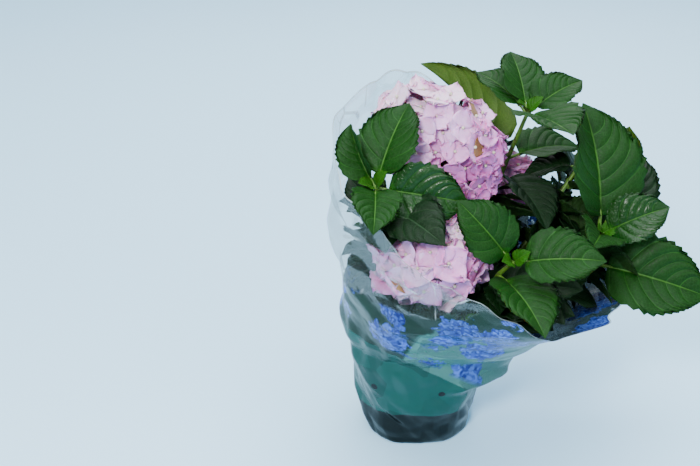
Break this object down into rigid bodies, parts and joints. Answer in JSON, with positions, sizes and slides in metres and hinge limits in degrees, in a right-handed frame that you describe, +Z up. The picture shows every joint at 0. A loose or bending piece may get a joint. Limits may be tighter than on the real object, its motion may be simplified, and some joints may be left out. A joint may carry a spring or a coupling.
{
  "type": "potted hydrangea shrub",
  "caption": "Small potted hydrangea with broad toothed leaves and round pink flower heads, in a printed clear film sleeve.",
  "frame": {"origin": "centre of the pot's flat underside", "axes": "+Z up, +Y to the back of the plant, +X to the right of the side that shows the two flower heads"},
  "size_m": [0.3702, 0.3061, 0.3843],
  "materials": {
    "pot": "matte black",
    "soil": "rough moist peat",
    "film": "clear glossy film with a teal, dark green and blue print",
    "cane": "green young stem",
    "leaf": "semi-gloss veined leaf",
    "petal": "soft pink petal"
  },
  "bodies": {
    "root": {"pot": "pot", "soil": "soil", "film_sleeve": "film", "left_cane": "cane", "left_leaves": "leaf", "top_cane": "cane", "top_leaves": "leaf", "right_cane": "cane", "right_leaves": "leaf", "front_cane": "cane", "front_leaves": "leaf", "middle_cane": "cane", "middle_leaves": "leaf", "back_cane": "cane", "back_leaves": "leaf", "back_left_cane": "cane", "back_left_leaves": "leaf", "inner_left_cane": "cane", "inner_left_leaves": "leaf", "inner_front_cane": "cane", "inner_front_leaves": "leaf", "upper_bloom_cane": "cane", "upper_bloom": "petal", "lower_bloom_cane": "cane", "lower_bloom": "petal", "back_bloom_cane": "cane", "back_bloom": "petal"}
  },
  "joints": []
}
